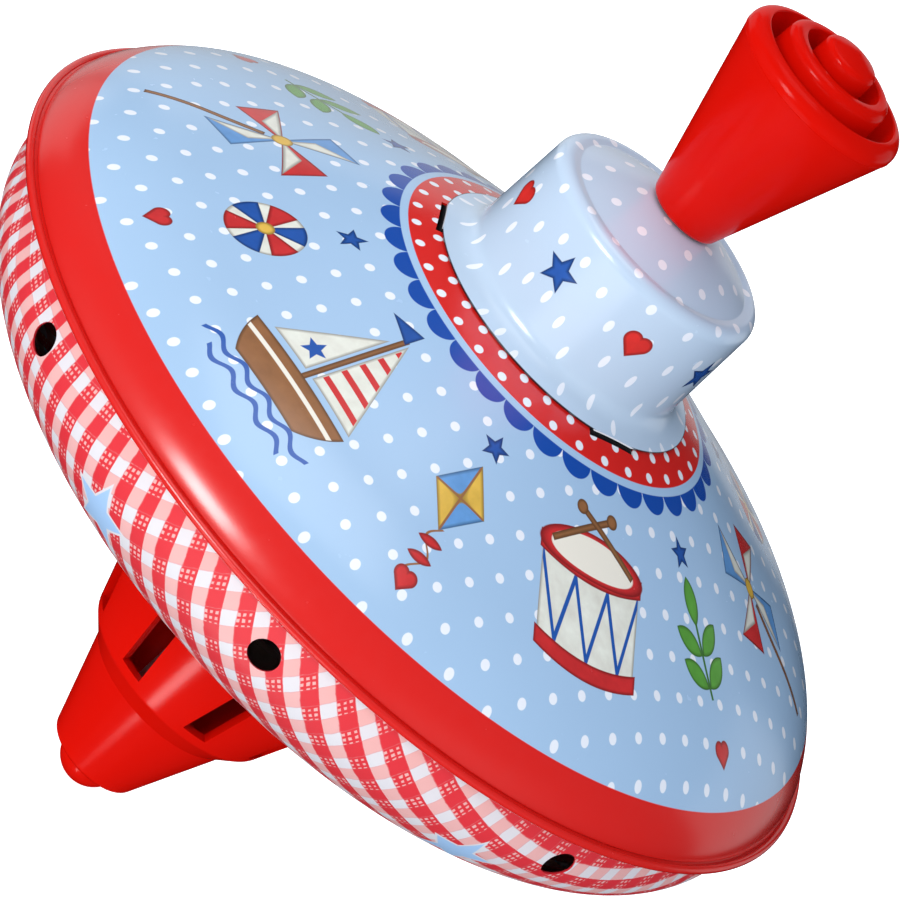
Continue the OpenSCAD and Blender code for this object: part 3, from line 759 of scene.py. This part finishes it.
def innerFinish(name):
    look = innerLooks[name]
    part = Finish(name)
    grain, fine = look["grain"], innerGrain
    part.colour = part.mix(part.noise(grain, 4.0), ink(*look["dark"]), ink(*look["light"]))
    patches = part.noise(grain * fine["rough"], 3.0)
    part.feed(part.shader.inputs["Roughness"], part.between(patches, *look["rough"]))
    part.bump(part.noise(grain * fine["bump"]), fine["bumpStrength"], fine["bumpDepth"] * mm)
    part.set(Metallic=metals.get(name, 0.0))
    return part.finish()


print("materials")
redFinish = redPlastic()
domeFinish = domeTin()
panFinish = panTin()
inner = {name: innerFinish(name) for name in innerLooks}

# Dome: one drawn sheet from the centre hole out to the groove and the rolled rim

domeShape = {
    "holeRadius": 28.6, "crownSlope": 17.5, "crownPull": 14.0,
    "shoulderIn": 23.5, "shoulderRise": 19.0, "shoulderSlope": 23.0, "shoulderPull": 17.0,
    "creaseIn": 1.8, "creaseRise": 0.4, "creasePull": (-0.7, 4.0), "creaseRound": 0.15, "grooveIn": 2.05,
    "beadRadius": 0.8, "beadDrop": 0.6, "beadFrom": 145.0, "beadTo": -150.0,
    "notches": 3, "notchAt": 71.0, "notchWidth": 11.6, "notchRadius": 30.3,
}


def domeOutline():
    shape = domeShape
    crown = Vector((shape["holeRadius"], crownZ))
    shoulder = Vector((rimR - shape["shoulderIn"], rimZ + shape["shoulderRise"]))
    crease = Vector((rimR - shape["creaseIn"], rimZ + shape["creaseRise"]))
    groove = Vector((rimR - shape["grooveIn"], rimZ))
    bead = Vector((rimR - shape["beadRadius"], rimZ - shape["beadDrop"]))
    downhill = slopeWay(-shape["shoulderSlope"])
    crownPull = crown + shape["crownPull"] * slopeWay(-shape["crownSlope"])
    run = bezierRun(crown, crownPull, shoulder - shape["crownPull"] * downhill, shoulder, 26)
    shoulderPull = shoulder + shape["shoulderPull"] * downhill
    run += bezierRun(shoulder, shoulderPull, crease + Vector(shape["creasePull"]), crease, 26)[1:-1]
    run += cornerRun(run[-1], crease, groove, shape["creaseRound"], 4)
    run.append(groove)
    run += arcRun(bead, shape["beadRadius"], shape["beadFrom"], shape["beadTo"], 26)
    return run


def makeDome():
    shape = domeShape
    bm = spinOutline(domeOutline())
    faceOutwards(bm, lambda face: face.calc_center_median().z)
    dome = makePiece("dome", bm)
    thicken(dome, tinWall)
    notch = blockSide(0, shape["notchRadius"], crownZ - cutOver, crownZ + cutOver)
    cutAway(dome, slabsAround(shape["notches"], shape["notchAt"], notch, shape["notchWidth"]))
    finishPiece(dome, "body", domeFinish, ["upper_shell"])


makeDome()

# Lower shell: flange, wall, rounded corner and cone, with the sound holes

panShape = {
    "flangeIn": 0.9, "flangeDrop": 0.95, "flangeRound": 0.6,
    "wallIn": 4.5, "wallDepth": 9.0, "wallPull": 3.2,
    "cornerIn": 22.3, "cornerDepth": 27.0, "cornerPull": 15.8, "cornerSlope": 22.0,
    "neckRadius": 19.05, "holes": 8, "holeRadius": 3.1, "holeDepth": 9.3, "drillLength": 10.0,
}


def makePan():
    shape = panShape
    wallR = rimR - shape["wallIn"]
    wallEnd = Vector((wallR, rimZ - shape["wallDepth"]))
    corner = Vector((rimR - shape["cornerIn"], rimZ - shape["cornerDepth"]))
    flange = Vector((rimR - shape["flangeIn"], rimZ - shape["flangeDrop"]))
    run = [Vector((shape["neckRadius"], panLow.z))]
    pull = corner + shape["cornerPull"] * slopeWay(shape["cornerSlope"])
    run += bezierRun(corner, pull, wallEnd - Vector((0, shape["wallPull"])), wallEnd, 24)
    run += cornerRun(wallEnd, (wallR, flange.y), flange, shape["flangeRound"], 4)
    run.append(flange)
    bm = spinOutline(run)
    faceOutwards(bm, lambda face: -face.calc_center_median().z)
    pan = makePiece("pan", bm)
    thicken(pan, tinWall)
    drills = bmesh.new()
    place = Matrix.Translation((wallR * mm, 0, (rimZ - shape["holeDepth"]) * mm))
    level = Matrix.Rotation(math.pi / 2, 4, "Y")
    radius = shape["holeRadius"] * mm
    for turn in aroundAxis(shape["holes"]):
        bmesh.ops.create_cone(
            drills, cap_ends=True, segments=48, radius1=radius, radius2=radius,
            depth=shape["drillLength"] * mm, matrix=turn @ place @ level
        )
    cutAway(pan, drills)
    finishPiece(pan, "body", panFinish, ["lower_shell"])


makePan()

# Cap: flared brim over the dome's hole, wall, rounded rim with a crease inside it, and a low cone

capShape = {
    "brimRadius": 29.9, "brimRise": 0.1, "wallRadius": 24.5, "brimHeight": 4.6, "brimPull": 0.6,
    "brimSlope": 17.5, "wall": 0.3, "taper": 0.4, "cornerHeight": 26.0, "cornerRound": 2.6, "rimWidth": 4.0,
    "wallSteps": 12, "creaseDrop": 0.5, "creaseRound": 0.8, "landRadius": 8.5, "topHeight": 30.3,
    "holeRadius": 5.25, "flatAt": 29.4,
}


def makeCap():
    shape = capShape
    wallLow = Vector((shape["wallRadius"], crownZ + shape["brimHeight"]))
    wallTop = Vector((shape["wallRadius"] - shape["taper"], crownZ + shape["cornerHeight"]))
    crease = wallTop - Vector((shape["rimWidth"], shape["creaseDrop"]))
    brim = Vector((shape["brimRadius"], crownZ + shape["brimRise"]))
    flare = (shape["brimRadius"] - shape["wallRadius"]) * shape["brimPull"]
    topZ = crownZ + shape["topHeight"]
    run = [Vector((shape["holeRadius"], topZ)), Vector((shape["landRadius"], topZ))]
    run += cornerRun(run[-1], crease, wallTop, shape["creaseRound"], 5)
    run += cornerRun(crease, wallTop, wallLow, shape["cornerRound"], 12)
    start = run[-1]
    steps = shape["wallSteps"]
    run += [start.lerp(wallLow, i / steps) for i in range(1, steps)]
    wallPull = wallLow - Vector((0, shape["brimHeight"] * shape["brimPull"]))
    brimPull = brim + flare * Vector((-1, math.tan(math.radians(shape["brimSlope"]))))
    run += bezierRun(wallLow, wallPull, brimPull, brim, 14)
    bm = spinOutline(run)
    faceOutwards(bm, lambda face: face.calc_center_median().z)
    cap = makePiece("capShell", bm)
    thicken(cap, shape["wall"])
    flat = blockSide(shape["flatAt"], shape["brimRadius"] + cutOver, crownZ - cutOver, crownZ + cutOver)
    cutAway(cap, slabsAround(domeShape["notches"], domeShape["notchAt"], flat, domeShape["notchWidth"]))
    finishPiece(cap, "body", capTin(blankRadii(run)[-1]), ["cap"])


makeCap()

# Knob: a cone with a rounded lip, two ring-shaped grooves and a crowned button

knobShape = {
    "neckRadius": 7.2, "slope": 17.1, "neckRound": 1.6, "lipHeight": 35.4, "lipRound": 2.9,
    "ringRadius": 11.7, "ringRise": 2.7, "ringWidth": 3.0, "ringRound": 1.8,
    "buttonRadius": 5.75, "buttonRise": 2.4, "buttonRound": 1.4, "buttonCrown": 1.7,
    "grooveDepth": 6.6, "gutter": 0.4, "fillet": 0.4, "edge": 0.25, "boreRadius": 4.25, "boreDepth": 20.05,
    "partingRise": 0.06, "partingTurn": 4.0, "partingEdge": (-0.2, -0.1), "lipFrom": 5.0, "lipTo": 84.0,
    "spinSteps": 240,
}


def makeKnob():
    shape = knobShape
    slope = math.radians(shape["slope"])
    bore, boreTop = shape["boreRadius"], shape["boreDepth"]
    ring, button, gutter = shape["ringRadius"], shape["buttonRadius"], shape["gutter"]
    fillet, edge = shape["fillet"], shape["edge"]
    lipR = shape["neckRadius"] + shape["lipHeight"] * math.tan(slope) - shape["lipRound"] / math.cos(slope)
    crest = shape["lipHeight"] + shape["lipRound"]
    ringTop = crest + shape["ringRise"]
    ringIn = ring - shape["ringWidth"]
    buttonTop = ringTop + shape["buttonRise"]
    crown = (0, buttonTop + shape["buttonCrown"])
    floor = crest - shape["grooveDepth"]
    lipAt = (lipR, shape["lipHeight"])
    low = -shape["slope"]
    parting = arcRun(lipAt, shape["lipRound"] + shape["partingRise"], low, low + shape["partingTurn"], 2)
    edgeRun = arcRun(lipAt, shape["lipRound"], *[low + turn for turn in shape["partingEdge"]], 1)
    lip = arcRun(lipAt, shape["lipRound"], low + shape["lipFrom"], shape["lipTo"], 16)
    grooveOut = lipR - math.tan(slope) * shape["grooveDepth"] * (1 - gutter)
    run = [(0, boreTop), (bore, boreTop), (bore, 0)]
    run += cornerRun((bore, 0), (shape["neckRadius"], 0), parting[0], shape["neckRound"])
    run += edgeRun + parting + lip
    run += cornerRun(lip[-1], (lipR, crest), (grooveOut, floor), edge, 4)
    run += cornerRun((lipR, crest), (grooveOut, floor), (ring, floor), fillet, 4)
    run += cornerRun((grooveOut, floor), (ring + gutter, floor), (ring, crest), fillet, 4)
    run += cornerRun((ring, floor), (ring, ringTop), (ringIn, ringTop), shape["ringRound"], 12)
    run += cornerRun((ring, ringTop), (ringIn, ringTop), (ringIn - gutter, floor), edge, 4)
    run += cornerRun((ringIn, ringTop), (ringIn - gutter, floor), (0, floor), fillet, 4)
    run += cornerRun((ringIn, floor), (button + gutter, floor), (button, buttonTop), fillet, 4)
    run += cornerRun((button, floor), (button, buttonTop), crown, shape["buttonRound"], 12)
    run.append(crown)
    bm = spinOutline([Vector((r, z + knobLow.z)) for r, z in run], shape["spinSteps"])
    finishPiece(makePiece("knobHandle", bm), "handle", redFinish, ["knob"])


makeKnob()

# Foot: two cones with a tier between them, air windows, the neck and the tip under it

footShape = {
    "baseRadius": 9.3, "slope": 20.0, "baseRound": 1.4, "tierHeight": 20.3, "tierRise": 4.6, "tierStep": 2.5,
    "tierRound": 2.4, "notchRound": 0.5, "wall": 2.4, "neckRadius": 19.0, "neckWall": 2.0, "neckHeight": 9.0,
    "stemRadius": 4.05, "stemHeight": 6.05, "tubeRadius": 5.45, "socketHeight": 9.0, "cavityHeight": 15.0,
    "windows": 8, "windowWidth": 5.3, "windowOver": 1.0, "sillHeight": 27.0, "spinSteps": 240,
}


def makeFoot():
    shape = footShape
    lean = math.tan(math.radians(shape["slope"]))
    base, wall = footLow.z, shape["wall"]
    seatR = footHigh.x

    def coneR(height):
        return shape["baseRadius"] + height * lean

    seatZ = (seatR - shape["tierStep"] - shape["baseRadius"]) / lean
    neck, stem, tube = shape["neckRadius"], shape["stemRadius"], shape["tubeRadius"]
    neckTop = footHigh.z - base
    neckSeat = neckTop - shape["neckHeight"]
    neckIn = neck - shape["neckWall"]
    notch = Vector((coneR(shape["tierHeight"]), shape["tierHeight"]))
    tierZ = shape["tierHeight"] + shape["tierRise"]
    tierLow = Vector((coneR(tierZ) + shape["tierStep"], tierZ))
    cavity, socket = shape["cavityHeight"], shape["socketHeight"]
    # the roof under the lower shell, from the neck out to the tier's wall
    pitch = (seatZ - neckSeat) / (seatR - neck)
    roof = neckSeat - shape["neckWall"] + (neckIn - neck) * pitch
    vault = (roof + (coneR(0) + shape["tierStep"] - wall - neckIn) * pitch) / (1 - lean * pitch)
    run = [(0, shape["stemHeight"]), (stem, shape["stemHeight"]), (stem, 0)]
    run += cornerRun((0, 0), (shape["baseRadius"], 0), notch, shape["baseRound"])
    run += cornerRun((coneR(0), 0), notch, tierLow, shape["notchRound"], 4)
    run += cornerRun(notch, tierLow, (seatR, seatZ), shape["tierRound"], 10)
    run += [
        (seatR, seatZ), (neck, neckSeat), (neck, neckTop), (neckIn, neckTop), (neckIn, roof),
        (coneR(vault) + shape["tierStep"] - wall, vault), (tierLow.x - wall, tierLow.y),
        (notch.x - wall, notch.y), (coneR(cavity) - wall, cavity),
        (tube, cavity), (tube, socket), (0, socket),
    ]
    bm = spinOutline([Vector((r, z + base)) for r, z in run], shape["spinSteps"])
    foot = makePiece("footCone", bm)
    # a window stops under the roof at the neck, and further out it runs through the seat
    sill, high, outR = shape["sillHeight"], seatZ + shape["windowOver"], seatR + cutOver
    side = [(neckIn, sill), (outR, sill), (outR, high), (neck, high), (neck, roof), (neckIn, roof)]
    side = [(r, z + base) for r, z in side]
    cutAway(foot, slabsAround(shape["windows"], 180 / shape["windows"], side, shape["windowWidth"]))
    finishPiece(foot, "body", redFinish, ["foot"])


tipShape = {"radius": 6.3, "domeHeight": 5.0, "stemRadius": 4.0, "gap": 0.05, "edge": 0.3, "spinSteps": 120}


def makeTip():
    shape = tipShape
    radius, stem = shape["radius"], shape["stemRadius"]
    sweep = math.degrees(math.acos((radius - shape["domeHeight"]) / radius))
    seat = footLow.z - shape["gap"]
    run = arcRun((0, tipLow.z + radius), radius, -90, -90 + sweep, 16)
    run += cornerRun(run[-1], (run[-1].x, seat), (stem, seat), shape["edge"], 4)
    run += [Vector((stem, seat)), Vector((stem, tipHigh.z)), Vector((0, tipHigh.z))]
    tip = makePiece("tipBall", spinOutline(run, shape["spinSteps"]))
    finishPiece(tip, "body", redFinish, ["foot_tip"])


makeFoot()
makeTip()

# Twisted rod: a flat strip turned as it rises

rodShape = {"width": 5.5, "thickness": 1.8, "pitch": 36.0, "stepAngle": 5.0}


def makeRod():
    shape = rodShape
    height = rodHigh.z - rodLow.z
    turn = math.tau * height / shape["pitch"]
    steps = math.ceil(math.degrees(turn) / shape["stepAngle"])
    bm = bmesh.new()
    section = Matrix.Diagonal((shape["width"] * mm, shape["thickness"] * mm, 1, 1))
    place = Matrix.Translation((0, 0, rodLow.z * mm))
    bmesh.ops.create_grid(bm, x_segments=6, y_segments=2, size=0.5, matrix=place @ section)
    start = bm.faces[:]
    bmesh.ops.spin(
        bm, geom=bm.verts[:] + bm.edges[:] + start, cent=(0, 0, 0), axis=(0, 0, 1),
        dvec=(0, 0, height * mm / steps), angle=turn, steps=steps
    )
    bmesh.ops.recalc_face_normals(bm, faces=bm.faces)
    finishPiece(makePiece("twistedRod", bm), "handle", inner["drawnSteel"], ["spiral_rod"])


makeRod()

# The inner parts keep their CAD shapes and take a finish

innerParts = {
    "whitePlastic": ["cap_bush", "sound_plate", "foot_ring"],
    # the clutch cup takes the near-black painted shade
    "paintedShadeBlack": ["clutch_cup"],
    "drawnSteel": ["clutch_cover", "rod_tube", "reed_rivets", "knob_sleeve", "rod_stop", "drive_plate"],
    "sheetBrass": ["reed_frames", "reed_tongues"],
    "clutchRed": ["clutch_disc"],
}
for finish, parts in innerParts.items():
    for part in parts:
        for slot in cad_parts[part].material_slots:
            slot.material = inner[finish]
print("inner parts dressed")

# Floor, light and camera

stage = {
    "floorSize": 12.0, "floor": (0.92, 0.92, 0.92, 1.0), "floorRough": 0.9, "glow": 1.0,
    "world": 0.64, "worldTint": (0.85, 0.97, 1.16, 1.0),
}
lamps = [  # name, place as the camera sees it (right, up, towards) in metres, size, watts, what it is for
    ("keyBox", (-0.42, 0.46, 1.47), 0.46, 9.0, "both"),
    ("keyShine", (-0.42, 0.46, 1.47), 0.5, 5.0, "shine"),
    ("leftBox", (-1.0, 0.73, 0.66), 1.2, 4.4, "light"),
    ("sideBox", (0.6, -0.96, 0.81), 1.1, 4.0, "light"),
    ("frontBox", (-0.66, -0.6, 0.84), 0.9, 2.7, "both"),
    ("lowBox", (-0.75, -0.8, 0.1), 0.8, 1.5, "light"),
    ("topBox", (0.25, 1.1, -0.2), 1.2, 5.6, "light"),
    ("footStrip", (-0.63, -0.61, 0.03), 0.09, 0.5, "shine"),
    ("topStrip", (0.66, 0.865, 0.5), 0.7, 1.9, "shine"),
    ("backdrop", (0.26, 0.585, -1.13), 1.0, 1.3, "shine"),
    ("rearLeft", (-0.4, 0.95, -0.8), 0.6, 0.45, "shine"),
    ("rearRight", (0.95, -0.25, -0.75), 0.7, 0.55, "shine"),
]
camera = {
    "elevation": 22.818, "roll": -47.574, "distance": 1.5, "offset": (-0.00466, -0.000185),
    "lens": 332.03, "sensor": 36, "clip": 30,
}


def makeStage():
    bm = bmesh.new()
    bmesh.ops.create_grid(bm, x_segments=1, y_segments=1, size=stage["floorSize"] / 2)
    floor = makePiece("studioFloor", bm)
    table = Finish("studioFloor")
    table.set(
        Base_Color=stage["floor"], Roughness=stage["floorRough"],
        Emission_Color=stage["floor"], Emission_Strength=stage["glow"]
    )
    floor.data.materials.append(table.finish())
    floor.visible_glossy = False  # a light table: the low lamps shine through it
    floor.visible_diffuse = False
    floor.visible_shadow = False
    world = bpy.data.worlds.new("studio")
    world.use_nodes = True
    back = world.node_tree.nodes["Background"]
    back.inputs[0].default_value = stage["worldTint"]
    back.inputs[1].default_value = stage["world"]
    world.cycles_visibility.glossy = False  # only the lamps show in the gloss
    scene.world = world


def cameraAxes():
    rise = math.radians(camera["elevation"])
    turn = Matrix.Rotation(math.radians(frontSide + 90), 3, "Z")
    ahead = turn @ Vector((0, math.cos(rise), -math.sin(rise)))
    right = turn @ Vector((1, 0, 0))
    up = right.cross(ahead)
    roll = math.radians(camera["roll"])
    return math.cos(roll) * right - math.sin(roll) * up, math.sin(roll) * right + math.cos(roll) * up, ahead


def makeCamera():
    right, up, ahead = cameraAxes()
    rim = Vector((0, 0, rimZ * mm))
    place = rim - ahead * camera["distance"] - camera["offset"][0] * right - camera["offset"][1] * up
    data = bpy.data.cameras.new("view")
    data.lens = camera["lens"]
    data.sensor_width = camera["sensor"]
    data.clip_end = camera["clip"]
    view = bpy.data.objects.new("view", data)
    view.matrix_world = Matrix.Translation(place) @ Matrix((right, up, -ahead)).transposed().to_4x4()
    scene.collection.objects.link(view)
    scene.camera = view
    return rim


def makeLamps(target):
    right, up, ahead = cameraAxes()
    for name, (x, y, z), size, power, use in lamps:
        data = bpy.data.lights.new(name, "AREA")
        data.size = size
        data.energy = power
        lamp = bpy.data.objects.new(name, data)
        place = target + x * right + y * up - z * ahead
        aim = (target - place).to_track_quat("-Z", "Y").to_matrix().to_4x4()
        lamp.matrix_world = Matrix.Translation(place) @ aim
        lamp.visible_camera = False
        lamp.visible_diffuse = use != "shine"
        lamp.visible_glossy = use != "light"
        scene.collection.objects.link(lamp)


makeStage()
makeLamps(makeCamera())
print("stage, lamps and camera")
